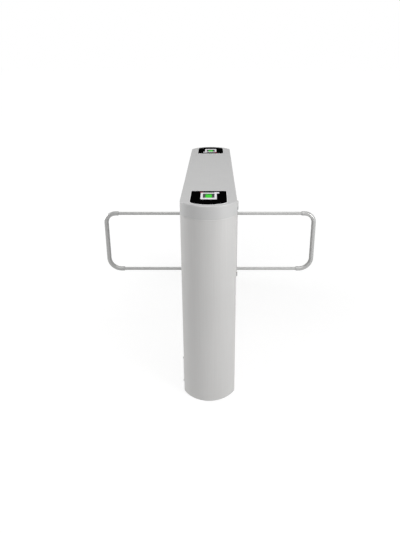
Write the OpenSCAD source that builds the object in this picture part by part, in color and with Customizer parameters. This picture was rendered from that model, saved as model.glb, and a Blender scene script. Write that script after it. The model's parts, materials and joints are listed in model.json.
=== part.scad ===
// Swing turnstile: a long pedestal with a swinging barrier wing on each side.
// Z is up, Y runs along the pedestal, and the origin is the centre of its foot.

/* [Housing] */
// Length over the curved ends
body_l = 1200; // [1100:10:1400]
// Width across the flat sides
body_w = 250; // [246:1:290]
// Height from the floor to the top of the lid
body_h = 1000; // [960:5:1100]
// How far each end bows out beyond the flat sides
end_depth = 72; // [64:1:82]
// Radius that blends a flat side into the curved end
corner_r = 24; // [14:1:30]
// Thickness of the sheet of the shell and of the lid
sheet_t = 2; // [1.5:0.5:3]
// Height of the lid, skirt included
lid_h = 62; // [58:1:76]
// Radius of the rim round the top of the lid
rim_r = 4; // [3:0.5:8]
// Thickness of the seal under the lid
seal_t = 1.4; // [1:0.1:3]

/* [Reader panels] */
// Width of each black panel
panel_w = 160; // [140:1:176]
// Length of each black panel, from its straight edge to the top of its arc
panel_l = 190; // [170:1:200]
// Distance from the end of the lid to the arc of the panel
panel_margin = 20; // [16:1:36]
// Width of the light edge round the panel
edge_w = 2.5; // [1.5:0.5:4]
// Width of the frame round the signal window
bezel_w = 72; // [66:1:90]
// Length of the frame round the signal window
bezel_l = 90; // [82:1:100]
// Height that the frame stands over the panel
bezel_t = 2.5; // [2:0.5:6]
// Width of the green signal window
window_w = 28; // [20:1:36]
// Length of the green signal window
window_l = 50; // [40:1:52]

/* [Wings] */
// Distance from the flat side to the centre of the outer upright of a wing
wing_reach = 464; // [380:1:560]
// Distance from the top of the lid down to the centre of the upper rail
rail_drop = 257; // [250:1:300]
// Distance between the centres of the two rails
rail_span = 346; // [300:1:400]
// Diameter of the rails
rail_d = 18; // [16:1:20]
// Diameter of the bow that joins the two rails
bow_d = 25; // [24:1:28]
// Radius of the upper bend, to the centre of the tube
upper_bend_r = 55; // [45:1:80]
// Radius of the lower bend, to the centre of the tube
lower_bend_r = 70; // [45:1:85]
// Wall of the rails
rail_wall = 2; // [1.5:0.5:3]
// Length of a rail inside the bow
sleeve_l = 16; // [14:1:40]
// Diameter of the post that carries the wing
post_d = 30; // [28:1:31]
// Swing of a wing to each side
wing_swing = 90; // [70:1:90]

/* [Drive] */
// Module of the two gears
gear_module = 1.5; // [1.5:0.5:1.5]
// Teeth of the gear on the post
post_teeth = 20; // [18:1:20]
// Teeth of the gear on the motor shaft
drive_teeth = 64; // [60:2:64]
// Width of the teeth
gear_w = 10; // [8:1:11]
// Play cut from each tooth
backlash = 0.12; // [0.08:0.02:0.2]
// Length of the motor, brake included
motor_l = 163; // [120:1:200]

/* [Foot] */
// Thickness of the foot plate
foot_t = 8; // [6:1:12]
// Distance across the pedestal between the floor anchors
anchor_x = 160; // [140:1:180]
// Distance along the pedestal between the floor anchors
anchor_y = 860; // [760:10:900]
// Diameter of the anchor holes
anchor_d = 14; // [12:1:18]
// Diameter of the cable entry
cable_d = 70; // [40:1:90]

/* [Hidden] */
$fn = 72;
// clearances: pieces that move, pieces that are seated, plain bolt holes
run_gap = 0.05;
seat_gap = 0.3;
bolt_gap = 0.3;

rail_top = body_h - rail_drop;
rail_low = rail_top - rail_span;
half_w = body_w / 2;
end_r = (half_w * half_w + end_depth * end_depth) / (2 * end_depth);
arc_y = body_l / 2 - end_r;
corner_y = arc_y + sqrt(pow(end_r - corner_r, 2) - pow(half_w - corner_r, 2));
inner_x = half_w - sheet_t;
seam_z = body_h - lid_h;
shell_top = seam_z - seal_t;

panel_r = end_r - panel_margin;
panel_corner = 24;
panel_rear = body_l / 2 - panel_margin - panel_l;
panel_top = body_h + 0.4;
flange_w = 8;
flange_top = body_h - sheet_t - seat_gap;
panel_low = body_h - 7;
recess_w = bezel_w - 20;
recess_l = bezel_l - 29;
recess_z = panel_top - 3;
bezel_back = 33;
bezel_y = panel_rear + bezel_back + bezel_l / 2;
recess_y = bezel_y - 3;
lamp_w = 14;
lamp_l = 11;
lamp_t = 2.5;
ear_w = 22;
ear_out = 8;
reader_w = bezel_w + 14;
reader_l = bezel_l + 8;
reader_t = 16;

pivot_x = half_w + rail_d / 2 + 7;
leg_x = half_w + wing_reach;
bow_hole = rail_d / 2 + 0.15;
post_top = rail_top + 22;
post_low = rail_low - 22;
bush_flange = 3;
lug_t = 20;
lug_r = 19;
upper_lug = post_top + bush_flange;
lower_lug = post_low - bush_flange - lug_t;
spindle_r = 8;
tip_r = 6;
bush_r = 11;
bracket_t = 6;
bracket_w = 108;
bracket_h = 50;
bracket_bolt_y = 44;
bolt_r = 4;
nut_h = 6.5;
upper_bolt_zs = [upper_lug + 9, upper_lug + 41];
lower_bolt_zs = [lower_lug - 20, lower_lug + 10];
cap_screw_r = 2;
cap_screw_y = 24.5;
cap_screw_z = upper_lug + lug_t + 7;

pair_x = (post_teeth + drive_teeth) * gear_module / 2;
drive_x = pivot_x - pair_x;
drive_ro = (drive_teeth / 2 + 1) * gear_module;
post_ro = (post_teeth / 2 + 1) * gear_module;
slot_w = 2 * post_ro + 13;
chassis_t = 6;
chassis_l = 220;
chassis_rise = 40;
chassis_drop = 20;
chassis_side = 4;
chassis_z = upper_lug + lug_t - 4;
gear_z = chassis_z + chassis_t + 4;
hub_top = gear_z + gear_w + 6;
shaft_r = 7;
shaft_in = 28;
arm_w = 8;
arm_l = 62;
arm_t = 6;
disc_r = 26;
disc_z = hub_top + arm_t + 4;
buffer_r = 6;
buffer_at = drive_ro + buffer_r + 1.5;
drive_turn = wing_swing * post_teeth / drive_teeth;
buffer_a = drive_turn + asin((arm_w / 2 + buffer_r + seat_gap) / buffer_at);
gearbox_w = 70;
gearbox_h = 44;
gearbox_hole = 25;
gearbox_screw_r = 3;
pilot_r = 20;

tray_z = chassis_z - 20;
tray_t = 2;
tray_fold = 14;
tray_y = 130;
tray_l = 220;
board_z = tray_z + tray_t + 10;
board_w = 150;
board_l = 180;
supply_w = 98;
supply_l = 160;
supply_h = 40;

lock_z = seam_z + 28;
lock_ys = [-300, 300];
lock_r = 9;
plug_r = 6;
tongue_x = half_w - 25;
tongue_t = 3;
tongue_w = 14;
tongue_l = 27;
ring_in = sheet_t + seat_gap;
ring_t = 3;
catch_x = half_w - ring_in - ring_t;
catch_t = 3;
catch_l = 18;

cover_ys = [-398, 398];
cover_l = 240;
cover_h = 150;
cover_z = 112;
cover_t = 1.5;
cover_screw_r = 2.5;
cover_overlap = 15;
upstand_h = 30;
base_screw_r = 3;
base_screw_z = 24;
base_screw_ys = [-400, 0, 400];
lens_ys = [-450, -220, 220, 450];
lens_z = rail_low + 170;

// Puts a piece that is drawn for the right side on side s, 1 right and -1 left
module side(s) {
  mirror([s > 0 ? 0 : 1, 0, 0]) children();
}

// Puts a piece that is drawn for the rear end on both ends, turned half round
module both_ends() {
  children();
  rotate([0, 0, 180]) children();
}

module rounded(w, l, r) {
  square([w - 2 * r, l], center = true);
  square([w, l - 2 * r], center = true);
  for (x = [-1, 1], y = [-1, 1]) translate([x * (w / 2 - r), y * (l / 2 - r)]) circle(r = r);
}

// One curved end: a wide arc that runs into a small arc at each flat side
module arched_end(hw, r, c, g) {
  y = arc_y + sqrt(pow(r - c, 2) - pow(hw - c, 2));
  x = (r - g) * (hw - c) / (r - c);
  intersection() {
    translate([0, arc_y]) circle(r = r - g, $fn = 144);
    translate([-x, arc_y]) square([2 * x, 2 * r]);
  }
  for (s = [-1, 1]) translate([s * (hw - c), y]) circle(r = c - g);
}

// Outline of the pedestal seen from above, moved inwards by g
module plan(g) {
  square([body_w - 2 * g, 2 * corner_y], center = true);
  arched_end(half_w, end_r, corner_r, g);
  mirror([0, 1]) arched_end(half_w, end_r, corner_r, g);
}

module plan_block(g, z0, z1) {
  translate([0, 0, z0]) linear_extrude(height = z1 - z0) plan(g);
}

// Outline of the rear panel, moved outwards by g
module panel_plan(g) {
  hw = panel_w / 2;
  y = arc_y + sqrt(pow(panel_r - panel_corner, 2) - pow(hw - panel_corner, 2));
  rear_r = 5 + g;
  translate([-hw - g, panel_rear + 5]) square([2 * (hw + g), y - panel_rear - 5]);
  translate([-hw - g + rear_r, panel_rear - g]) square([2 * (hw + g - rear_r), 20]);
  for (s = [-1, 1]) translate([s * (hw - 5), panel_rear + 5]) circle(r = rear_r);
  arched_end(hw, panel_r, panel_corner, -g);
}

// Cylinder along X from x0 to x1
module rod_x(r, x0, x1) {
  translate([x0, 0, 0]) rotate([0, 90, 0]) cylinder(r = r, h = x1 - x0);
}

// Bolt that points to -X, its head standing out from x
module bolt_x(x, r, head_r, head_h, l, key) {
  difference() {
    union() {
      rod_x(head_r, x, x + head_h);
      rod_x(r, x - l, x);
    }
    translate([x + head_h / 2, 0, 0]) rotate([0, 90, 0]) cylinder(r = key, h = head_h, $fn = 6);
  }
}

function inv(a) = tan(a) * 180 / PI - a;

// Involute gear outline with one tooth on +X
module gear_outline(teeth) {
  rp = teeth * gear_module / 2;
  rb = rp * cos(20);
  rr = rp - 1.25 * gear_module;
  ro = rp + gear_module;
  rs = max(rb, rr);
  half = 90 / teeth - backlash * 90 / PI / rp;
  steps = 5;
  up = [for (j = [0:steps]) let (r = rs + (ro - rs) * j / steps)
    [r, half + inv(20) - inv(acos(min(1, rb / r)))]];
  low = rb > rr ? [[rr, up[0][1]]] : [];
  tooth = concat(
    [for (p = low) [p[0], -p[1]]],
    [for (p = up) [p[0], -p[1]]],
    [for (j = [0:steps]) up[steps - j]],
    low);
  polygon([for (i = [0:teeth - 1], p = tooth)
    let (a = p[1] + i * 360 / teeth) [p[0] * cos(a), p[0] * sin(a)]]);
}

// Foot plate with an upstand that the shell is screwed to
module base_plate() {
  color("#6f7276") difference() {
    union() {
      plan_block(ring_in, 0, foot_t);
      difference() {
        plan_block(ring_in, foot_t - 1, foot_t + upstand_h);
        plan_block(ring_in + 4, foot_t - 2, foot_t + upstand_h + 1);
      }
    }
    for (x = [-1, 1], y = [-1, 1])
      translate([x * anchor_x / 2, y * anchor_y / 2, -1]) cylinder(d = anchor_d, h = foot_t + 2);
    translate([0, 0, -1]) cylinder(d = cable_d, h = foot_t + 2);
    for (y = base_screw_ys, s = [-1, 1])
      side(s) translate([0, y, base_screw_z]) rod_x(base_screw_r + run_gap, half_w - 12, half_w + 1);
  }
}

// Wrap-round sheet shell, open at the top and the bottom
module body_shell() {
  color("#c9cacc") difference() {
    plan_block(0, 0, shell_top);
    plan_block(sheet_t, -1, shell_top + 1);
    for (s = [-1, 1]) side(s) {
      translate([inner_x - 3, -slot_w / 2, gear_z - 4]) cube([sheet_t + 6, slot_w, gear_w + 8]);
      for (y = [-1, 1], z = concat(upper_bolt_zs, lower_bolt_zs))
        translate([0, y * bracket_bolt_y, z]) rod_x(bolt_r + bolt_gap, inner_x - 3, half_w + 3);
      for (y = lens_ys) translate([0, y, lens_z]) rod_x(9 + seat_gap, inner_x - 3, half_w + 3);
      for (y = base_screw_ys) translate([0, y, base_screw_z])
        rod_x(base_screw_r + bolt_gap, inner_x - 3, half_w + 3);
    }
    side(-1) for (y = cover_ys) translate([0, y, cover_z]) {
      rotate([90, 0, 90]) translate([0, 0, inner_x - 3]) linear_extrude(height = 8)
        rounded(cover_l - 2 * cover_overlap, cover_h - 2 * cover_overlap, 10);
      cover_screw_places() rod_x(cover_screw_r + bolt_gap, inner_x - 3, half_w + 3);
    }
  }
}

module cover_screw_places() {
  for (y = [-1, 1], z = [-1, 1])
    translate([0, y * (cover_l / 2 - 8), z * (cover_h / 2 - 8)]) children();
}

// Screwed covers over the openings that give reach to the floor anchors
module access_covers() {
  color("#c2c4c6") side(-1) for (y = cover_ys) translate([0, y, cover_z]) difference() {
    rotate([90, 0, 90]) translate([0, 0, half_w]) linear_extrude(height = cover_t)
      rounded(cover_l, cover_h, 12);
    cover_screw_places() rod_x(cover_screw_r + bolt_gap, half_w - 1, half_w + 3);
  }
}

// Screws of the foot, the access covers and the gear covers
module case_screws() {
  color("#8d9095") {
    for (y = base_screw_ys, s = [-1, 1])
      side(s) translate([0, y, base_screw_z]) bolt_x(half_w, base_screw_r, 5.5, 3, 11, 2);
    side(-1) for (y = cover_ys) translate([0, y, cover_z])
      cover_screw_places() bolt_x(half_w + cover_t, cover_screw_r, 4.5, 2.5, 9, 1.7);
    for (s = [-1, 1], y = [-1, 1]) side(s) translate([0, y * cap_screw_y, cap_screw_z])
      bolt_x(half_w + bracket_t + 2, cap_screw_r, 3.6, 2.2, 7, 1.3);
  }
}

// Ring inside the top edge that guides the lid
module top_ring() {
  color("#9a9da1") difference() {
    plan_block(ring_in, shell_top - 30, seam_z + 14);
    plan_block(ring_in + ring_t, shell_top - 31, seam_z + 15);
  }
}

// Angles welded inside the ring, one beside each lock, that its tongue turns under
module lock_catches() {
  color("#8f9296") for (y = lock_ys) translate([0, y + 15, 0]) {
    translate([catch_x - catch_t, 0, shell_top - 12]) cube([catch_t, catch_l, lock_z + 11 - shell_top + 12]);
    translate([tongue_x - 2, 0, lock_z + 8]) cube([catch_x - tongue_x + 2, catch_l, 3]);
  }
}

module lid_seal() {
  color("#c2c3c4") difference() {
    plan_block(0.4, shell_top, seam_z);
    plan_block(sheet_t, shell_top - 1, seam_z + 1);
  }
}

// Bridge across the shell that carries both drives
module chassis() {
  color("#8a8f94") difference() {
    union() {
      translate([-inner_x + 1, -chassis_l / 2, chassis_z]) cube([2 * inner_x - 2, chassis_l, chassis_t]);
      for (s = [-1, 1]) side(s) translate([inner_x - chassis_side, -chassis_l / 2, chassis_z - chassis_drop])
        cube([chassis_side, chassis_l, chassis_drop + chassis_rise]);
    }
    for (s = [-1, 1]) side(s) {
      translate([inner_x - 5, -30, chassis_z + chassis_t]) cube([6, 60, gear_w + 8]);
      for (y = [-1, 1], z = upper_bolt_zs)
        translate([0, y * bracket_bolt_y, z]) rod_x(bolt_r + bolt_gap, inner_x - 8, half_w);
      translate([drive_x, 0, chassis_z - 1]) {
        cylinder(r = pilot_r + seat_gap, h = chassis_t + 2);
        for (x = [-1, 1], y = [-1, 1]) translate([x * gearbox_hole, y * gearbox_hole, 0]) {
          cylinder(r = gearbox_screw_r + bolt_gap, h = chassis_t + 2);
          translate([0, 0, chassis_t - 2])
            cylinder(r1 = gearbox_screw_r + bolt_gap, r2 = 2 * gearbox_screw_r + bolt_gap, h = 3.001);
        }
      }
      for (y = [-1, 1]) translate([35, y * (chassis_l / 2 - 22), chassis_z - 1])
        linear_extrude(height = chassis_t + 2) rounded(50, 18, 8);
    }
  }
}

// Folded tray across the shell, y0 is its low edge
module tray(y0) {
  translate([-inner_x + 1, y0, tray_z]) cube([2 * inner_x - 2, tray_l, tray_t]);
  for (s = [-1, 1]) side(s) translate([inner_x - tray_t, y0, tray_z - tray_fold])
    cube([tray_t, tray_l, tray_fold + tray_t]);
}

module front_tray() {
  color("#a6a9ad") difference() {
    tray(-tray_y - tray_l);
    translate([85, -tray_y - tray_l / 2, tray_z - 1])
      linear_extrude(height = tray_t + 2) rounded(30, 120, 10);
  }
}

module rear_tray() {
  color("#a6a9ad") {
    difference() {
      tray(tray_y);
      for (x = [-1, 1]) translate([x * 98, tray_y + tray_l / 2, tray_z - 1])
        linear_extrude(height = tray_t + 2) rounded(20, 150, 8);
    }
    translate([0, tray_y + tray_l / 2, tray_z + tray_t - 0.5]) board_holes()
      cylinder(r = 3.5, h = board_z - tray_z - tray_t + 0.5);
  }
}

// Switched supply in a vented case
module power_supply() {
  color("#b4b7ba") translate([-20, -tray_y - tray_l / 2, tray_z + tray_t]) difference() {
    linear_extrude(height = supply_h) rounded(supply_w, supply_l, 3);
    for (x = [-3:3], y = [-3:3]) translate([x * 12, y * 14 + 8, supply_h - 4])
      linear_extrude(height = 5) rounded(7, 10, 3);
    translate([7 - supply_w / 2, 2 - supply_l / 2, 14]) cube([supply_w - 14, 14, supply_h - 10]);
  }
}

module board_holes() {
  for (x = [-1, 1], y = [-1, 1]) translate([x * (board_w / 2 - 6), y * (board_l / 2 - 6), 0]) children();
}

module control_board() {
  color("#1f5a36") translate([0, tray_y + tray_l / 2, board_z]) difference() {
    linear_extrude(height = 1.6) rounded(board_w, board_l, 3);
    board_holes() translate([0, 0, -1]) cylinder(r = 1.7, h = 4);
  }
}

// Terminals, relays, processor and capacitors on the board
module board_parts() {
  color("#2b2c2e") translate([0, tray_y + tray_l / 2, board_z + 1.6]) {
    for (s = [-1, 1]) translate([s * (board_w / 2 - 10), 0, 6]) difference() {
      cube([12, 130, 12], center = true);
      for (i = [-6:6]) translate([0, i * 10, 3]) cube([6, 6, 8], center = true);
    }
    for (i = [-1:1]) translate([22, i * 26, 8]) cube([19, 20, 16], center = true);
    translate([-22, 20, 1.2]) cube([26, 26, 2.4], center = true);
    for (i = [0:2]) translate([-40 + i * 18, -40, 0]) cylinder(r = 6, h = 16);
    translate([0, 76, 5]) cube([50, 10, 10], center = true);
  }
}

// Block with a round nose about the pivot, from x outwards
module nose(x, z, h) {
  intersection() {
    translate([pivot_x, 0, z]) cylinder(r = lug_r, h = h);
    translate([x, -lug_r - 1, z - 1]) cube([3 * lug_r, 2 * lug_r + 2, h + 2]);
  }
  translate([x, -lug_r, z]) cube([pivot_x - x, 2 * lug_r, h]);
}

// Bracket on the shell that holds the upper end of a post and frames the gear slot
module upper_bracket() {
  color("#8b8e93") difference() {
    union() {
      translate([half_w, 0, upper_lug + bracket_h / 2]) rotate([90, 0, 90])
        linear_extrude(height = bracket_t) rounded(bracket_w, bracket_h, 8);
      nose(half_w, upper_lug, lug_t);
    }
    translate([pivot_x, 0, upper_lug - 1]) cylinder(r = bush_r, h = lug_t + 2);
    translate([half_w - 1, -post_ro - 0.8, gear_z - 5]) cube([bracket_t + 2, 2 * post_ro + 1.6, gear_w + 9]);
    for (y = [-1, 1], z = upper_bolt_zs) translate([0, y * bracket_bolt_y, z])
      rod_x(bolt_r + bolt_gap, half_w - 1, half_w + bracket_t + 1);
    for (y = [-1, 1]) translate([0, y * cap_screw_y, cap_screw_z])
      rod_x(cap_screw_r + run_gap, half_w - 1, half_w + bracket_t + 1);
  }
}

// Bracket on the shell that holds the lower end of a post, with a rib under its lug
module lower_bracket() {
  z0 = lower_lug + lug_t - bracket_h;
  color("#8b8e93") difference() {
    union() {
      translate([half_w, 0, z0 + bracket_h / 2]) rotate([90, 0, 90])
        linear_extrude(height = bracket_t) rounded(bracket_w, bracket_h, 8);
      nose(half_w, lower_lug, lug_t);
      translate([half_w + bracket_t - 1, 4, 0]) rotate([90, 0, 0]) linear_extrude(height = 8)
        polygon([[0, z0 + 4], [0, lower_lug + 1], [14, lower_lug + 1], [14, lower_lug - 4]]);
    }
    translate([pivot_x, 0, lower_lug - 1]) cylinder(r = bush_r, h = lug_t + 2);
    for (y = [-1, 1], z = lower_bolt_zs) translate([0, y * bracket_bolt_y, z])
      rod_x(bolt_r + bolt_gap, half_w - 1, half_w + bracket_t + 1);
  }
}

// Flanged bushes at both ends of each post
module pivot_bushes() {
  color("#b08a4a") for (s = [-1, 1]) side(s) translate([pivot_x, 0, 0]) {
    difference() {
      union() {
        translate([0, 0, upper_lug]) cylinder(r = bush_r - run_gap, h = lug_t);
        translate([0, 0, post_top]) cylinder(r = 14, h = bush_flange);
      }
      translate([0, 0, post_top - 1]) cylinder(r = spindle_r + run_gap, h = lug_t + 6);
    }
    difference() {
      union() {
        translate([0, 0, lower_lug]) cylinder(r = bush_r - run_gap, h = lug_t);
        translate([0, 0, lower_lug + lug_t]) cylinder(r = 14, h = bush_flange);
      }
      translate([0, 0, lower_lug - 1]) cylinder(r = spindle_r + run_gap, h = lug_t + 6);
    }
  }
}

// Cap over the gear on the post, with an ear on each side
module gear_cover() {
  z0 = upper_lug + lug_t;
  color("#a9acb0") difference() {
    union() {
      nose(half_w + bracket_t, z0, gear_w + 18);
      translate([half_w + bracket_t, -30, z0]) cube([2, 60, 14]);
    }
    translate([pivot_x, 0, z0 - 1]) cylinder(r = post_ro + 1, h = gear_w + 17);
    translate([half_w, -post_ro - 1, z0 - 1]) cube([pivot_x - half_w, 2 * post_ro + 2, gear_w + 17]);
    for (y = [-1, 1]) translate([0, y * cap_screw_y, cap_screw_z])
      rod_x(cap_screw_r + bolt_gap, half_w, half_w + bracket_t + 3);
  }
}

// Bolts that hold the brackets, with their nuts inside the shell
module bracket_bolts() {
  color("#7d8085") for (s = [-1, 1], y = [-1, 1]) side(s) translate([0, y * bracket_bolt_y, 0]) {
    for (z = upper_bolt_zs) translate([0, 0, z]) bolt_and_nut(chassis_side);
    for (z = lower_bolt_zs) translate([0, 0, z]) bolt_and_nut(0);
  }
}

module bolt_and_nut(packing) {
  bolt_x(half_w + bracket_t, bolt_r, 6.5, 8, bracket_t + sheet_t + packing + nut_h + 2.5, 3.4);
  translate([inner_x - packing - nut_h, 0, 0]) rotate([0, 90, 0]) rotate([0, 0, 30])
    cylinder(r = 7.4, h = nut_h, $fn = 6);
}

// Right-angle gearbox under the chassis, with a pilot boss round its shaft
module gearbox() {
  color("#74787d") translate([drive_x, 0, 0]) difference() {
    union() {
      translate([0, 0, chassis_z - gearbox_h])
        linear_extrude(height = gearbox_h) rounded(gearbox_w, gearbox_w, 8);
      translate([0, 0, chassis_z - 1]) cylinder(r = pilot_r, h = chassis_t);
    }
    translate([0, 0, chassis_z - 30]) cylinder(r = shaft_r + run_gap, h = 40);
    for (x = [-1, 1], y = [-1, 1]) translate([x * gearbox_hole, y * gearbox_hole, chassis_z - 14])
      cylinder(r = gearbox_screw_r + run_gap, h = 20);
    for (a = [0:90:270]) rotate([0, 0, a]) for (z = [8, 16, 24])
      translate([gearbox_w / 2 - 1.5, -22, chassis_z - gearbox_h + z]) cube([4, 44, 3]);
  }
}

module gearbox_screws() {
  color("#7d8085") for (s = [-1, 1]) side(s) translate([drive_x, 0, chassis_z])
    for (x = [-1, 1], y = [-1, 1]) translate([x * gearbox_hole, y * gearbox_hole, 0]) difference() {
      union() {
        translate([0, 0, -12]) cylinder(r = gearbox_screw_r, h = chassis_t + 10);
        translate([0, 0, chassis_t - 3]) cylinder(r1 = gearbox_screw_r, r2 = 2 * gearbox_screw_r, h = 3);
      }
      translate([0, 0, chassis_t - 2]) cylinder(r = 2, h = 3, $fn = 6);
    }
}

// Motor with cooling ribs, and the brake and its leads' gland at its lower end
module motor() {
  z1 = chassis_z - gearbox_h;
  color("#3c3f43") translate([drive_x, 0, 0]) {
    difference() {
      translate([0, 0, z1 - motor_l + 50]) cylinder(r = 28, h = motor_l - 50);
      for (a = [0:15:345]) rotate([0, 0, a]) translate([26.5, -1.5, z1 - motor_l + 60])
        cube([4, 3, motor_l - 74]);
    }
    translate([0, 0, z1 - motor_l + 42]) cylinder(r = 26, h = 9);
    translate([0, 0, z1 - motor_l + 38]) cylinder(r = 20, h = 5);
    translate([0, 0, z1 - motor_l]) cylinder(r = 25, h = 39);
    translate([-12, 24, z1 - motor_l + 62]) cube([24, 16, 30]);
  }
}

// Rubber buffers that end the travel of the stop arms
module stop_buffers() {
  color("#222326") for (s = [-1, 1]) side(s) for (y = [-1, 1])
    translate([drive_x - buffer_at * cos(buffer_a), y * buffer_at * sin(buffer_a), chassis_z + chassis_t])
      cylinder(r = buffer_r, h = hub_top + arm_t + 2 - chassis_z - chassis_t);
}

// Forked optical sensor that reads the slotted disc, on its own stand
module position_sensors() {
  color("#2f3135") for (s = [-1, 1]) side(s) translate([drive_x, 0, 0]) {
    difference() {
      translate([-7, disc_r - 7, disc_z - 6]) cube([14, 14, 14]);
      translate([-8, disc_r - 8, disc_z - 1.5]) cube([16, 10, 4.5]);
    }
    translate([-7, disc_r + 6, disc_z - 6]) cube([14, drive_ro + 6 - disc_r - 6, 3]);
    translate([-7, drive_ro + 2, chassis_z + chassis_t]) cube([14, 4, disc_z - 3 - chassis_z - chassis_t]);
  }
}

// Infrared lenses in both sides that watch the two lanes
module sensor_lenses() {
  color("#241a1e") for (s = [-1, 1], y = lens_ys) side(s) translate([0, y, lens_z]) {
    rod_x(12, half_w, half_w + 1.5);
    rod_x(10.5, half_w + 1, half_w + 2.2);
    rod_x(9, half_w - 14, half_w + 1);
  }
}

// Post that turns in two bushes, with a pocket for each rail
module wing_post() {
  color("#b9bbbe") difference() {
    translate([pivot_x, 0, 0]) {
      translate([0, 0, post_low]) cylinder(d = post_d, h = post_top - post_low);
      translate([0, 0, lower_lug + 1]) cylinder(r = spindle_r, h = post_low - lower_lug);
      translate([0, 0, post_top - 1]) cylinder(r = spindle_r, h = bush_flange + lug_t + 1);
      translate([0, 0, post_top]) cylinder(r = tip_r, h = gear_z + gear_w + 4 - post_top);
    }
    for (z = [rail_low, rail_top]) translate([0, 0, z]) rod_x(bow_hole, pivot_x + 6, pivot_x + 40);
  }
}

// Where a bend of radius r starts
function bend_x(r) = leg_x - r;

// Rail at height z, its end inside the bow just short of a bend of radius bend
module rail(z, bend) {
  color("#c3c5c8") translate([0, 0, z]) difference() {
    rod_x(rail_d / 2, pivot_x + 6, bend_x(bend) - 2);
    rod_x(rail_d / 2 - rail_wall, pivot_x + 5, bend_x(bend));
  }
}

// One bend with its sleeve, drawn upwards from the origin at the start of the upright
module bend_path(r, bend, over) {
  translate([0, 0, bend]) rod_x(r, -bend - sleeve_l - over, -bend);
  translate([-bend, 0, 0]) rotate([90, 0, 0]) rotate_extrude(angle = 90) translate([bend, 0]) circle(r = r);
}

module bow_path(r, over) {
  low = rail_low + lower_bend_r;
  high = rail_top - upper_bend_r;
  translate([leg_x, 0, low]) cylinder(r = r, h = high - low);
  translate([leg_x, 0, high]) bend_path(r, upper_bend_r, over);
  translate([leg_x, 0, low]) mirror([0, 0, 1]) bend_path(r, lower_bend_r, over);
}

// Puts a piece on the underside of the upper sleeve and on the top of the lower one
module sleeve_places() {
  translate([bend_x(upper_bend_r) - sleeve_l / 2, 0, rail_top]) rotate([180, 0, 0]) children();
  translate([bend_x(lower_bend_r) - sleeve_l / 2, 0, rail_low]) children();
}

// Thicker tube with two bends that sleeves over both rails
module wing_bow() {
  color("#c7c9cc") difference() {
    bow_path(bow_d / 2, 0);
    bow_path(bow_hole, 1);
    sleeve_places() cylinder(r = 2.5 + run_gap, h = bow_d);
  }
}

module grub_screws() {
  color("#5c5f63") sleeve_places() translate([0, 0, rail_d / 2 + 0.1]) difference() {
    cylinder(r = 2.5, h = bow_d / 2 - rail_d / 2 - 0.5);
    translate([0, 0, 1.2]) cylinder(r = 1.3, h = 5, $fn = 6);
  }
}

// Pinion on the post, with its hub resting on the bush
module post_gear() {
  color("#9c9fa3") translate([pivot_x, 0, 0]) difference() {
    union() {
      translate([0, 0, gear_z]) rotate([0, 0, 180 / post_teeth]) linear_extrude(height = gear_w)
        gear_outline(post_teeth);
      translate([0, 0, upper_lug + lug_t + seat_gap]) cylinder(r = 10, h = gear_z - upper_lug - lug_t);
    }
    translate([0, 0, upper_lug]) cylinder(r = tip_r + run_gap, h = 60);
  }
}

// Large gear on the motor shaft, lightened by round holes
module drive_gear() {
  color("#9c9fa3") translate([drive_x, 0, 0]) difference() {
    union() {
      translate([0, 0, gear_z]) linear_extrude(height = gear_w) gear_outline(drive_teeth);
      translate([0, 0, gear_z + gear_w - 1]) cylinder(r = 14, h = 7);
    }
    translate([0, 0, gear_z - 1]) cylinder(r = shaft_r + run_gap, h = 30);
    for (a = [30:60:330]) rotate([0, 0, a]) translate([28, 0, gear_z - 1]) cylinder(r = 9, h = gear_w + 2);
  }
}

module drive_shaft() {
  color("#a3a6aa") translate([drive_x, 0, chassis_z - shaft_in])
    cylinder(r = shaft_r, h = disc_z + 8 - chassis_z + shaft_in);
}

// Arm that meets a buffer at each end of the travel
module stop_arm() {
  color("#54575b") translate([drive_x, 0, hub_top]) difference() {
    union() {
      cylinder(r = 14, h = arm_t);
      translate([-arm_l, -arm_w / 2, 0]) cube([arm_l, arm_w, arm_t]);
    }
    translate([0, 0, -1]) cylinder(r = shaft_r + run_gap, h = arm_t + 2);
  }
}

// Slotted disc that shows the sensor where the wing stands
module encoder_disc() {
  color("#303236") translate([drive_x, 0, hub_top + arm_t]) difference() {
    union() {
      cylinder(r = 12, h = disc_z - hub_top - arm_t);
      translate([0, 0, disc_z - hub_top - arm_t - 0.5]) cylinder(r = disc_r, h = 2);
    }
    translate([0, 0, -1]) cylinder(r = shaft_r + run_gap, h = 12);
    for (a = [0:15:345]) rotate([0, 0, a]) translate([19.5, -1, 1]) cube([4.5, 2, 8]);
  }
}

// What the rounded rim takes off the square edge of the lid, a hair more than tangent
module rim_cuts() {
  for (m = [0, 1]) {
    mirror([m, 0, 0]) translate([half_w - rim_r, 0, body_h - rim_r]) rotate([90, 0, 0])
      linear_extrude(height = 2 * corner_y + 60, center = true) difference() {
        square(rim_r + 6);
        circle(r = rim_r + 0.03);
      }
    mirror([0, m, 0]) difference() {
      translate([-half_w - 10, arc_y + 20, body_h - rim_r]) cube([body_w + 20, end_r + 20, rim_r + 7]);
      translate([0, arc_y, body_h - rim_r - 1]) cylinder(r = end_r - rim_r, h = rim_r + 20, $fn = 144);
      translate([0, arc_y, body_h - rim_r]) rotate_extrude($fn = 144) translate([end_r - rim_r, 0])
        circle(r = rim_r + 0.03, $fn = 48);
    }
  }
}

module lid_shell() {
  color("#cfd0d2") difference() {
    plan_block(0, seam_z, body_h);
    plan_block(sheet_t, seam_z - 1, body_h - sheet_t);
    rim_cuts();
    both_ends() translate([0, 0, body_h - 10]) linear_extrude(height = 12) panel_plan(edge_w + 0.2);
    for (y = lock_ys) translate([0, y, lock_z]) rod_x(lock_r + 0.2, inner_x - 3, half_w + 3);
  }
}

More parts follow.
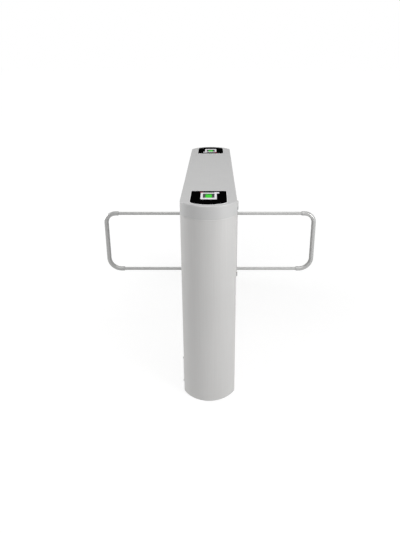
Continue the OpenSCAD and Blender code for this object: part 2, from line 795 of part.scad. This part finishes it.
// Black panel that is let into the lid from below, with a recess for the signal window
module panel() {
  color("#0b0b0d") difference() {
    union() {
      translate([0, 0, panel_low]) linear_extrude(height = panel_top - panel_low) panel_plan(0);
      translate([0, 0, panel_low]) linear_extrude(height = flange_top - panel_low) panel_plan(flange_w);
    }
    translate([0, recess_y, recess_z]) linear_extrude(height = 5) rounded(recess_w, recess_l, 3);
  }
}

module panel_edges() {
  color("#dadbdd") both_ends() translate([0, 0, flange_top]) difference() {
    linear_extrude(height = body_h + 0.9 - flange_top) panel_plan(edge_w);
    translate([0, 0, -1]) linear_extrude(height = 8) panel_plan(0.2);
  }
}

// Light frame round the recess, with an ear at one corner
module reader_bezels() {
  color("#d5d7d9") both_ends() translate([0, bezel_y, panel_top]) difference() {
    linear_extrude(height = bezel_t) {
      rounded(bezel_w, bezel_l, 5);
      translate([-bezel_w / 2, -bezel_l / 2]) rounded(ear_w, 2 * ear_out, 3);
    }
    translate([0, recess_y - bezel_y, -1]) linear_extrude(height = bezel_t + 2)
      rounded(recess_w, recess_l, 3);
  }
}

module signal_windows() {
  color("#35d02c") both_ends() translate([0, recess_y, recess_z])
    linear_extrude(height = 2.5) rounded(window_w, window_l, 3);
}

// Red lamp on the panel, beside the corner of each frame across from the ear
module status_lamps() {
  y = bezel_y - (bezel_l + lamp_l) / 2 - 1;
  color("#d8203a") both_ends() translate([bezel_w / 2 - 4, y, panel_top])
    linear_extrude(height = lamp_t) rounded(lamp_w, lamp_l, 4);
}

// Card readers behind the panels
module card_readers() {
  color("#2a2b2e") both_ends() translate([0, bezel_y, panel_low - reader_t])
    linear_extrude(height = reader_t) rounded(reader_w, reader_l, 8);
}

// Cylinder locks in the lid's right skirt, each with its nut behind the sheet
module lock_housings() {
  color("#b7babd") for (y = lock_ys) translate([0, y, lock_z]) difference() {
    union() {
      rod_x(12, half_w, half_w + 2);
      rod_x(lock_r, tongue_x + tongue_t + 0.5, half_w + 1);
      translate([inner_x - 5, 0, 0]) rotate([0, 90, 0]) rotate([0, 0, 30]) cylinder(r = 13, h = 5, $fn = 6);
    }
    rod_x(plug_r + run_gap, tongue_x, half_w + 3);
  }
}

// Plug with its key slot and the tongue, which hangs down when unlocked
module lock_cam(y) {
  color("#9fa2a6") translate([0, y, lock_z]) difference() {
    union() {
      rod_x(plug_r, tongue_x, half_w + 1.5);
      translate([tongue_x, -tongue_w / 2, -tongue_l]) cube([tongue_t, tongue_w, tongue_l]);
      rod_x(tongue_w / 2, tongue_x, tongue_x + tongue_t);
    }
    translate([half_w - 8, -0.8, -3.5]) cube([12, 1.6, 7]);
  }
}

base_plate();
body_shell();
access_covers();
top_ring();
lid_seal();
chassis();
front_tray();
rear_tray();
power_supply();
control_board();
board_parts();
side(-1) upper_bracket();  // left_upper_bracket
side(1) upper_bracket();  // right_upper_bracket
side(-1) lower_bracket();  // left_lower_bracket
side(1) lower_bracket();  // right_lower_bracket
side(-1) gear_cover();  // left_gear_cover
side(1) gear_cover();  // right_gear_cover
pivot_bushes();
bracket_bolts();
side(-1) gearbox();  // left_gearbox
side(1) gearbox();  // right_gearbox
side(-1) motor();  // left_motor
side(1) motor();  // right_motor
gearbox_screws();
case_screws();
lock_catches();
stop_buffers();
position_sensors();
sensor_lenses();
side(-1) wing_post();  // left_post
side(-1) rail(rail_top, upper_bend_r);  // left_upper_rail
side(-1) rail(rail_low, lower_bend_r);  // left_lower_rail
side(-1) wing_bow();  // left_bow
side(-1) post_gear();  // left_post_gear
side(-1) grub_screws();  // left_grub_screws
side(1) wing_post();  // right_post
side(1) rail(rail_top, upper_bend_r);  // right_upper_rail
side(1) rail(rail_low, lower_bend_r);  // right_lower_rail
side(1) wing_bow();  // right_bow
side(1) post_gear();  // right_post_gear
side(1) grub_screws();  // right_grub_screws
side(-1) drive_gear();  // left_drive_gear
side(-1) drive_shaft();  // left_drive_shaft
side(-1) stop_arm();  // left_stop_arm
side(-1) encoder_disc();  // left_encoder_disc
side(1) drive_gear();  // right_drive_gear
side(1) drive_shaft();  // right_drive_shaft
side(1) stop_arm();  // right_stop_arm
side(1) encoder_disc();  // right_encoder_disc
lid_shell();
rotate([0, 0, 180]) panel();  // front_panel
panel();  // rear_panel
panel_edges();
reader_bezels();
signal_windows();
status_lamps();
card_readers();
lock_housings();
lock_cam(lock_ys[0]);  // front_lock_cam
lock_cam(lock_ys[1]);  // rear_lock_cam
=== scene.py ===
import json
import math

import bmesh
import bpy
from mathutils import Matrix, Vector


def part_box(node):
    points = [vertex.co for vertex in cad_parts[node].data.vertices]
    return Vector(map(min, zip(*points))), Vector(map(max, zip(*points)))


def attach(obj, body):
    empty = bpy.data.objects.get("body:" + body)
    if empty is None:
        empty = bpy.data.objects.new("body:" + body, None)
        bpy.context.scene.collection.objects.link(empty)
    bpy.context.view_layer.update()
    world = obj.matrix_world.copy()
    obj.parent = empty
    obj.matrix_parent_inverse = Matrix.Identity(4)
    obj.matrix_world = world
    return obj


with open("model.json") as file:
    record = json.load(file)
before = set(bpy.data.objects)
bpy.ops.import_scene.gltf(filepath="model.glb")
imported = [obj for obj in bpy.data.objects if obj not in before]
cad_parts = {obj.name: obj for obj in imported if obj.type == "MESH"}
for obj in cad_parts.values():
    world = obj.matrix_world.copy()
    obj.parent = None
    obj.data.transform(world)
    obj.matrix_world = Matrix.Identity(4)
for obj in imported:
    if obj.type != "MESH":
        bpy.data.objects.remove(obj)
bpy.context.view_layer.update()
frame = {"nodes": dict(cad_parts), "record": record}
nodes = frame["nodes"]
print("frame loaded with", len(nodes), "nodes")

# materials

def newMaterial(name):
    mat = bpy.data.materials.new(name)
    mat.use_nodes = True
    tree = mat.node_tree
    shader = tree.nodes["Principled BSDF"]
    return mat, tree, shader


def link(tree, a, b):
    tree.links.new(a, b)


def objectPoint(tree, scale=(1, 1, 1)):
    coord = tree.nodes.new("ShaderNodeTexCoord")
    mapping = tree.nodes.new("ShaderNodeMapping")
    mapping.inputs["Scale"].default_value = scale
    link(tree, coord.outputs["Object"], mapping.inputs["Vector"])
    return mapping.outputs["Vector"]


def noise(tree, vector, scale, detail=3.0, rough=0.5):
    tex = tree.nodes.new("ShaderNodeTexNoise")
    tex.inputs["Scale"].default_value = scale
    tex.inputs["Detail"].default_value = detail
    tex.inputs["Roughness"].default_value = rough
    link(tree, vector, tex.inputs["Vector"])
    return tex.outputs["Fac"]


def remap(tree, value, low, high, fromLow=0.3, fromHigh=0.7):
    node = tree.nodes.new("ShaderNodeMapRange")
    node.inputs["From Min"].default_value = fromLow
    node.inputs["From Max"].default_value = fromHigh
    node.inputs["To Min"].default_value = low
    node.inputs["To Max"].default_value = high
    link(tree, value, node.inputs["Value"])
    return node.outputs["Result"]


def blendColours(tree, factor, first, second):
    node = tree.nodes.new("ShaderNodeMix")
    node.data_type = "RGBA"
    for socket, colour in ((node.inputs[6], first), (node.inputs[7], second)):
        if isinstance(colour, (tuple, list)):
            socket.default_value = (*colour, 1)
        else:
            link(tree, colour, socket)
    link(tree, factor, node.inputs[0])
    return node.outputs[2]


def addHeights(tree, first, second, share):
    node = tree.nodes.new("ShaderNodeMath")
    node.operation = "MULTIPLY_ADD"
    link(tree, second, node.inputs[0])
    node.inputs[1].default_value = share
    link(tree, first, node.inputs[2])
    return node.outputs[0]


# turns the normals round the edges, as if they were broken to this radius
def softEdge(tree, radius, samples=6):
    node = tree.nodes.new("ShaderNodeBevel")
    node.samples = samples
    node.inputs["Radius"].default_value = radius
    return node.outputs["Normal"]


def addBump(tree, shader, height, strength, distance, edge):
    node = tree.nodes.new("ShaderNodeBump")
    link(tree, softEdge(tree, edge), node.inputs["Normal"])
    node.inputs["Strength"].default_value = strength
    node.inputs["Distance"].default_value = distance
    link(tree, height, node.inputs["Height"])
    link(tree, node.outputs["Normal"], shader.inputs["Normal"])


# grain is the stretch of the brush marks along X, Y and Z; a small number is the way that they run
def brushedMetal(name, colour, metallic, rough, grain, tone=0.05, bump=0.12, edge=0.0006, shine=0.5):
    wear = {"cloudScale": 3.2, "cloudDark": 0.9, "cloudShare": 0.22, "touchScale": 19.0,
            "touchShare": 0.8, "polish": 0.07, "haze": 0.09, "markDepth": 0.0004}
    mat, tree, shader = newMaterial(name)
    marks = noise(tree, objectPoint(tree, grain), 1.0, detail=4.0, rough=0.65)
    cloud = noise(tree, objectPoint(tree), wear["cloudScale"], detail=4.0, rough=0.55)
    touch = noise(tree, objectPoint(tree), wear["touchScale"], detail=5.0, rough=0.6)
    light = tuple(min(1, c * (1 + tone)) for c in colour)
    dark = tuple(c * (1 - tone) for c in colour)
    worn = tuple(c * wear["cloudDark"] for c in colour)
    fine = blendColours(tree, remap(tree, marks, 0, 1), dark, light)
    broad = blendColours(tree, remap(tree, cloud, 0.0, wear["cloudShare"]), fine, worn)
    link(tree, broad, shader.inputs["Base Color"])
    mixed = addHeights(tree, marks, touch, wear["touchShare"])
    hazed = remap(tree, mixed, rough - wear["polish"], rough + wear["haze"], 0.6, 1.2)
    link(tree, hazed, shader.inputs["Roughness"])
    shader.inputs["Metallic"].default_value = metallic
    shader.inputs["Specular IOR Level"].default_value = shine
    addBump(tree, shader, marks, bump, wear["markDepth"], edge)
    return mat


def coatedMetal(name, colour, metallic, rough, grainSize, bump=0.25, edge=0.001):
    wear = {"dark": 0.86, "light": 1.08, "cloudScale": 14.0, "cloudShare": 0.3,
            "polish": 0.08, "haze": 0.1, "grainDepth": 0.0005}
    mat, tree, shader = newMaterial(name)
    speck = noise(tree, objectPoint(tree), grainSize, detail=3.0, rough=0.6)
    cloud = noise(tree, objectPoint(tree), wear["cloudScale"], detail=4.0, rough=0.6)
    dark = tuple(c * wear["dark"] for c in colour)
    light = tuple(min(1, c * wear["light"]) for c in colour)
    fine = blendColours(tree, remap(tree, speck, 0, 1), dark, light)
    broad = blendColours(tree, remap(tree, cloud, 0, wear["cloudShare"]), fine, dark)
    link(tree, broad, shader.inputs["Base Color"])
    hazed = remap(tree, cloud, rough - wear["polish"], rough + wear["haze"])
    link(tree, hazed, shader.inputs["Roughness"])
    shader.inputs["Metallic"].default_value = metallic
    addBump(tree, shader, speck, bump, wear["grainDepth"], edge)
    return mat


def mouldedPlastic(name, colour, rough, coat=0.0, bump=0.08, shine=0.5, edge=0.0008):
    wear = {"speckScale": 900.0, "wipeScale": 26.0, "wipeStretch": (1, 3, 1), "dust": 1.15,
            "dustFloor": 0.001, "dustShare": 0.8, "polish": 0.05, "haze": 0.08, "coatRough": 0.04,
            "grainDepth": 0.0002}
    mat, tree, shader = newMaterial(name)
    streaks = objectPoint(tree, wear["wipeStretch"])
    speck = noise(tree, objectPoint(tree), wear["speckScale"], detail=2.0, rough=0.5)
    wipe = noise(tree, streaks, wear["wipeScale"], detail=5.0, rough=0.65)
    dust = tuple(min(1, c * wear["dust"] + wear["dustFloor"]) for c in colour)
    wiped = blendColours(tree, remap(tree, wipe, 0, wear["dustShare"]), colour, dust)
    link(tree, wiped, shader.inputs["Base Color"])
    hazed = remap(tree, wipe, max(0.02, rough - wear["polish"]), rough + wear["haze"])
    link(tree, hazed, shader.inputs["Roughness"])
    shader.inputs["Coat Weight"].default_value = coat
    shader.inputs["Coat Roughness"].default_value = wear["coatRough"]
    shader.inputs["Specular IOR Level"].default_value = shine
    addBump(tree, shader, speck, bump, wear["grainDepth"], edge)
    return mat


# a lit diffuser with the faint cells of the lamps behind it
def litPlastic(name, colour, deep, strength, cells, shine=0.01, edge=0.0012):
    glow = {"cellSize": 0.75, "cellShare": (0.15, 0.65), "cloudScale": 30.0,
            "cloudShare": (-0.1, 0.3), "rough": (0.2, 0.3)}
    mat, tree, shader = newMaterial(name)
    spots = tree.nodes.new("ShaderNodeTexVoronoi")
    spots.inputs["Scale"].default_value = cells
    spots.inputs["Randomness"].default_value = 0.0
    link(tree, objectPoint(tree), spots.inputs["Vector"])
    cloud = noise(tree, objectPoint(tree), glow["cloudScale"], detail=2.0)
    cell = remap(tree, spots.outputs["Distance"], 0.0, glow["cellSize"], *glow["cellShare"])
    depth = addHeights(tree, cell, remap(tree, cloud, *glow["cloudShare"]), 1.0)
    shade = blendColours(tree, depth, colour, deep)
    link(tree, shade, shader.inputs["Base Color"])
    link(tree, shade, shader.inputs["Emission Color"])
    shader.inputs["Emission Strength"].default_value = strength
    shader.inputs["Specular IOR Level"].default_value = shine
    link(tree, remap(tree, cloud, *glow["rough"]), shader.inputs["Roughness"])
    link(tree, softEdge(tree, edge), shader.inputs["Normal"])
    return mat


def circuitBoard(name, colour, trace):
    layout = {"scale": 70.0, "gap": 0.035, "light": 1.25, "speck": 60.0, "rough": (0.3, 0.45),
              "bump": 0.2, "depth": 0.0003, "edge": 0.0004}
    mat, tree, shader = newMaterial(name)
    bricks = tree.nodes.new("ShaderNodeTexBrick")
    bricks.inputs["Scale"].default_value = layout["scale"]
    bricks.inputs["Mortar Size"].default_value = layout["gap"]
    bricks.inputs["Color1"].default_value = (*colour, 1)
    bricks.inputs["Color2"].default_value = (*[c * layout["light"] for c in colour], 1)
    bricks.inputs["Mortar"].default_value = (*trace, 1)
    link(tree, objectPoint(tree), bricks.inputs["Vector"])
    link(tree, bricks.outputs["Color"], shader.inputs["Base Color"])
    speck = noise(tree, objectPoint(tree), layout["speck"])
    link(tree, remap(tree, speck, *layout["rough"]), shader.inputs["Roughness"])
    addBump(tree, shader, bricks.outputs["Fac"], layout["bump"], layout["depth"], layout["edge"])
    return mat


def shellMetal():
    look = {"colour": (0.60, 0.595, 0.588), "metallic": 0.2, "rough": 0.42,
            "grain": (420, 420, 3), "tone": 0.035, "bump": 0.10}
    return brushedMetal("satinShell", **look)


def lidMetal():
    look = {"colour": (0.575, 0.575, 0.573), "metallic": 0.2, "rough": 0.52,
            "grain": (420, 3, 420), "tone": 0.035, "bump": 0.10, "shine": 0.3}
    return brushedMetal("satinLid", **look)


def wingMetal():
    look = {"colour": (0.46, 0.46, 0.455), "metallic": 0.4, "rough": 0.30,
            "grain": (8, 900, 8), "tone": 0.04, "bump": 0.10}
    return brushedMetal("satinTube", **look)


# the panel, its frame and what lights up in it
def panelLooks():
    black = {"colour": (0.0008, 0.0008, 0.0009), "rough": 0.4, "bump": 0.01, "shine": 0.0}
    bezel = {"colour": (0.83, 0.815, 0.845), "rough": 0.38, "bump": 0.06, "edge": 0.0016}
    display = {"colour": (0.06, 0.062, 0.066), "rough": 0.5, "bump": 0.05, "shine": 0.05}
    green = {"colour": (0.038, 0.58, 0.022), "deep": (0.02, 0.38, 0.012), "strength": 0.4,
             "cells": 160.0}
    red = {"colour": (0.34, 0.012, 0.06), "deep": (0.22, 0.008, 0.04), "strength": 0.2,
           "cells": 220.0}
    rim = {"colour": (0.86, 0.86, 0.86), "metallic": 0.3, "rough": 0.3,
           "grain": (300, 300, 300), "tone": 0.04}
    return {
        "panel_black": mouldedPlastic("panelBlack", **black),
        "edge_light": brushedMetal("edgeMetal", **rim),
        "bezel_grey": mouldedPlastic("bezelGrey", **bezel),
        "display_dark": mouldedPlastic("displayDark", **display),
        "window_green": litPlastic("windowGreen", **green),
        "lamp_red": litPlastic("lampRed", **red),
    }


# the numbers are metallic, rough, grain, tone and bump
def sheetLooks():
    return {
        "cover_steel": brushedMetal("satinCover", (0.58, 0.58, 0.575), 0.45, 0.40, (420, 3, 420)),
        "tray_steel": brushedMetal("traySheet", (0.60, 0.61, 0.62), 0.8, 0.38, (3, 300, 300), 0.06),
        "cap_steel": brushedMetal("satinCap", (0.56, 0.56, 0.555), 0.5, 0.38, (300, 300, 6)),
        "bush_bronze": brushedMetal("bronze", (0.60, 0.42, 0.20), 0.95, 0.35, (200, 200, 900), 0.06),
        "bolt_steel": brushedMetal("boltSteel", (0.42, 0.43, 0.44), 0.9, 0.32, (500, 500, 500), 0.08),
        "gear_steel": brushedMetal("cutSteel", (0.50, 0.51, 0.52), 0.95, 0.28, (700, 700, 40), 0.08),
        "supply_case": brushedMetal("supplyCase", (0.56, 0.57, 0.58), 0.85, 0.36, (3, 300, 300)),
        "lock_chrome": brushedMetal("chromeLock", (0.66, 0.67, 0.68), 1.0, 0.14, (200, 200, 200),
                                    0.03, 0.03),
    }


# the numbers are metallic, rough, grain size and bump
def coatedLooks():
    return {
        "foot_steel": coatedMetal("zincFoot", (0.36, 0.37, 0.38), 0.7, 0.5, 220.0),
        "frame_steel": coatedMetal("zincFrame", (0.50, 0.51, 0.52), 0.75, 0.42, 160.0),
        "bracket_metal": coatedMetal("castBracket", (0.42, 0.425, 0.43), 0.55, 0.55, 700.0, 0.5),
        "gearbox_alloy": coatedMetal("castGearbox", (0.40, 0.41, 0.42), 0.7, 0.5, 900.0, 0.5),
        "motor_paint": coatedMetal("motorPaint", (0.035, 0.037, 0.042), 0.1, 0.42, 600.0, 0.3),
        "arm_paint": coatedMetal("armPaint", (0.09, 0.095, 0.10), 0.2, 0.45, 500.0),
    }


# the numbers are rough, coat and bump
def plasticLooks():
    return {
        "soft_rubber": mouldedPlastic("rubber", (0.018, 0.018, 0.02), 0.75, 0.0, 0.3),
        "seal_grey": mouldedPlastic("sealGrey", (0.66, 0.66, 0.66), 0.7, 0.0, 0.2, shine=0.2),
        "dark_plastic": mouldedPlastic("darkPlastic", (0.03, 0.031, 0.034), 0.5, 0.0, 0.2),
        "lens_plastic": mouldedPlastic("lensPlastic", (0.035, 0.008, 0.012), 0.14, 0.6, 0.02),
        "board_green": circuitBoard("board", (0.012, 0.10, 0.035), (0.10, 0.28, 0.12)),
    }


looks = {
    "shell_steel": shellMetal(),
    "lid_steel": lidMetal(),
    "wing_steel": wingMetal(),
    **panelLooks(),
    **sheetLooks(),
    **coatedLooks(),
    **plasticLooks(),
}
slotOf = {row["node"]: row["material_slot"] for row in frame["record"]["subparts"]}
for name, node in nodes.items():
    node.data.materials.clear()
    node.data.materials.append(looks[slotOf[name]])
print("materials set on", len(nodes), "nodes")

# pieces that the solids leave out

def makePiece(name, build, look, body):
    bm = bmesh.new()
    build(bm)
    bmesh.ops.recalc_face_normals(bm, faces=bm.faces)
    mesh = bpy.data.meshes.new(name)
    bm.to_mesh(mesh)
    bm.free()
    mesh.materials.append(looks[look])
    piece = bpy.data.objects.new(name, mesh)
    bpy.context.scene.collection.objects.link(piece)
    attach(piece, body)
    return piece


# closed outline of a rectangle with round corners, about a centre
def roundedLoop(centre, width, length, radius, steps=5):
    points = []
    for k, (sx, sy) in enumerate(((1, 1), (-1, 1), (-1, -1), (1, -1))):
        for i in range(steps + 1):
            a = math.pi / 2 * (k + i / steps)
            x = centre[0] + sx * (width / 2 - radius) + radius * math.cos(a)
            y = centre[1] + sy * (length / 2 - radius) + radius * math.sin(a)
            points.append((x, y))
    return points


def bridgeLoops(bm, loops):
    rings = [[bm.verts.new(p) for p in loop] for loop in loops]
    count = len(rings[0])
    for a, b in zip(rings, rings[1:] + rings[:1]):
        for i in range(count):
            j = (i + 1) % count
            bm.faces.new((a[i], a[j], b[j], b[i]))


# dark surround of the signal window, laid in the recess of the panel
def makeDisplayFrame(name, sign):
    look = {"recess": (0.052, 0.061), "gap": 0.0003, "height": 0.0014, "slope": 0.0012,
            "corner": 0.0028, "lift": 0.00005, "play": 0.0008}
    low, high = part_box("signal_windows")
    farY = high.y * sign
    windowLength = endSpan("signal_windows", sign)
    centre = (0.0, farY - sign * windowLength / 2)
    width = high.x - low.x
    outer = tuple(size - 2 * look["gap"] for size in look["recess"])
    base = low.z + look["lift"]
    top = low.z + look["height"]
    inner = (width + look["play"], windowLength + look["play"])

    def build(bm):
        loops = []
        rings = ((outer, 0, base), (outer, 0, top), (inner, look["slope"], top), (inner, 0, base))
        for size, extra, z in rings:
            loop = roundedLoop(centre, size[0] + extra, size[1] + extra, look["corner"])
            loops.append([(x, y, z) for x, y in loop])
        bridgeLoops(bm, loops)

    makePiece(name, build, "display_dark", "lid")


# length along Y of the part of a node that lies at one end
def endSpan(node, sign):
    ys = [v.co.y for v in nodes[node].data.vertices if v.co.y * sign > 0]
    return max(ys) - min(ys)


# bead of weld metal along a closed path, rippled as it was laid
def makeBead(name, path, radius, look, body):
    ripple = {"size": 0.16, "pitch": 0.0016, "sides": 8, "upright": 0.95}

    def build(bm):
        count = len(path)
        rings = []
        gone = 0.0
        for i, point in enumerate(path):
            before, after = path[i - 1], path[(i + 1) % count]
            along = (after - before).normalized()
            upright = abs(along.z) > ripple["upright"]
            side = along.orthogonal() if upright else along.cross(Vector((0, 0, 1)))
            side.normalize()
            up = side.cross(along)
            gone += (point - before).length
            r = radius * (1 + ripple["size"] * math.sin(2 * math.pi * gone / ripple["pitch"]))
            ring = []
            for k in range(ripple["sides"]):
                a = 2 * math.pi * k / ripple["sides"]
                ring.append(bm.verts.new(point + r * (math.cos(a) * side + math.sin(a) * up)))
            rings.append(ring)
        for i in range(count):
            a, b = rings[i], rings[(i + 1) % count]
            for k in range(ripple["sides"]):
                m = (k + 1) % ripple["sides"]
                bm.faces.new((a[k], a[m], b[m], b[k]))

    piece = makePiece(name, build, look, body)
    for face in piece.data.polygons:
        face.use_smooth = True


# where a rail meets the round post
def railBead(side, level):
    look = {"radius": 0.0013, "points": 72, "lift": 0.0002}
    low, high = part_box(side + "_post")
    railLow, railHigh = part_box(side + "_" + level + "_rail")
    postX = (low.x + high.x) / 2
    postR = (high.y - low.y) / 2
    railZ = (railLow.z + railHigh.z) / 2
    railR = (railHigh.z - railLow.z) / 2 + look["lift"]
    out = 1 if side == "right" else -1
    path = []
    for i in range(look["points"]):
        a = 2 * math.pi * i / look["points"]
        y = railR * math.cos(a)
        x = postX + out * math.sqrt(postR ** 2 - y ** 2)
        path.append(Vector((x, y, railZ + railR * math.sin(a))))
    name = side + level.title() + "Weld"
    makeBead(name, path, look["radius"], "wing_steel", side + "_wing")


for end, sign in (("front", -1), ("rear", 1)):
    makeDisplayFrame(end + "DisplayFrame", sign)
for side in ("left", "right"):
    for level in ("upper", "lower"):
        railBead(side, level)
print("display frames and weld beads made")

# camera, floor and light

def makeCamera():
    # focal length and the optical centre are in pixels of the picture
    shot = {"place": (0.0292, -2.2869, 1.6057), "down": 0.3055, "focal": 431.8, "column": 215.24,
            "row": 189.51, "width": 400, "height": 533, "sensor": 36}
    data = bpy.data.cameras.new("camera")
    data.sensor_width = shot["sensor"]
    data.lens = shot["focal"] * shot["sensor"] / shot["height"]
    data.shift_x = (shot["width"] / 2 - shot["column"]) / shot["height"]
    data.shift_y = (shot["row"] - shot["height"] / 2) / shot["height"]
    camera = bpy.data.objects.new("camera", data)
    camera.location = shot["place"]
    camera.rotation_euler = (math.pi / 2 - shot["down"], 0, 0)
    bpy.context.scene.collection.objects.link(camera)
    bpy.context.scene.camera = camera


# 1 where the camera, a reflection or clear glass sees the surface, else 0
def seenShare(tree):
    path = tree.nodes.new("ShaderNodeLightPath")
    share = path.outputs["Is Camera Ray"]
    for ray in ("Is Glossy Ray", "Is Transmission Ray"):
        either = tree.nodes.new("ShaderNodeMath")
        either.operation = "MAXIMUM"
        link(tree, share, either.inputs[0])
        link(tree, path.outputs[ray], either.inputs[1])
        share = either.outputs[0]
    return share


def makeFloor():
    # glow and the lit seen colour add up to white, and the seen colour keeps the shadow;
    # the glow grows with the distance as the light of the lamps falls off
    look = {"half": 40.0, "drop": 0.0004, "colour": (0.95, 0.95, 0.95),
            "seen": (0.35, 0.35, 0.35), "glow": (0.742, 0.890), "away": (0.7, 3.4)}
    mesh = bpy.data.meshes.new("floor")
    h = look["half"]
    corners = [(x, y, -look["drop"]) for x, y in ((-h, -h), (h, -h), (h, h), (-h, h))]
    mesh.from_pydata(corners, [], [(0, 1, 2, 3)])
    floor = bpy.data.objects.new("floor", mesh)
    bpy.context.scene.collection.objects.link(floor)
    mat = bpy.data.materials.new("floorWhite")
    mat.use_nodes = True
    tree = mat.node_tree
    tree.nodes.clear()
    share = seenShare(tree)
    diffuse = tree.nodes.new("ShaderNodeBsdfDiffuse")
    link(tree, blendColours(tree, share, look["colour"], look["seen"]), diffuse.inputs["Color"])
    away = tree.nodes.new("ShaderNodeVectorMath")
    away.operation = "LENGTH"
    link(tree, objectPoint(tree), away.inputs[0])
    glow = tree.nodes.new("ShaderNodeMath")
    glow.operation = "MULTIPLY"
    link(tree, share, glow.inputs[0])
    link(tree, remap(tree, away.outputs["Value"], *look["glow"], *look["away"]), glow.inputs[1])
    white = tree.nodes.new("ShaderNodeEmission")
    link(tree, glow.outputs[0], white.inputs["Strength"])
    both = tree.nodes.new("ShaderNodeAddShader")
    link(tree, diffuse.outputs[0], both.inputs[0])
    link(tree, white.outputs[0], both.inputs[1])
    out = tree.nodes.new("ShaderNodeOutputMaterial")
    link(tree, both.outputs[0], out.inputs["Surface"])
    mesh.materials.append(mat)


def makeWorld():
    look = {"seen": 1.0, "light": 0.33}
    world = bpy.data.worlds.new("studio")
    bpy.context.scene.world = world
    world.use_nodes = True
    tree = world.node_tree
    tree.nodes.clear()
    mix = tree.nodes.new("ShaderNodeMixShader")
    link(tree, seenShare(tree), mix.inputs[0])
    for socket, strength in ((mix.inputs[1], look["light"]), (mix.inputs[2], look["seen"])):
        sky = tree.nodes.new("ShaderNodeBackground")
        sky.inputs["Color"].default_value = (1, 1, 1, 1)
        sky.inputs["Strength"].default_value = strength
        link(tree, sky.outputs[0], socket)
    out = tree.nodes.new("ShaderNodeOutputWorld")
    link(tree, mix.outputs[0], out.inputs["Surface"])


def addLamp(name, place, target, size, power):
    data = bpy.data.lights.new(name, "AREA")
    data.shape = "RECTANGLE"
    data.size, data.size_y = size
    data.energy = power
    lamp = bpy.data.objects.new(name, data)
    lamp.location = place
    lamp.rotation_euler = (Vector(target) - Vector(place)).to_track_quat("-Z", "Y").to_euler()
    bpy.context.scene.collection.objects.link(lamp)


def makeLight():
    keyRight = {"place": (3.4, -2.6, 1.6), "target": (0, -0.3, 0.5), "size": (2.0, 2.0), "power": 76}
    topSoft = {"place": (0.2, -0.9, 3.2), "target": (0, -0.5, 0.5), "size": (2.4, 2.4), "power": 29}
    rimLeft = {"place": (-3.0, 0.9, 1.2), "target": (-0.1, -0.3, 0.5), "size": (1.2, 1.6),
               "power": 40}
    addLamp("keyRight", **keyRight)
    addLamp("topSoft", **topSoft)
    addLamp("rimLeft", **rimLeft)


makeCamera()
makeFloor()
makeWorld()
makeLight()
bpy.context.scene.view_settings.view_transform = "Standard"
print("camera, floor and light placed")
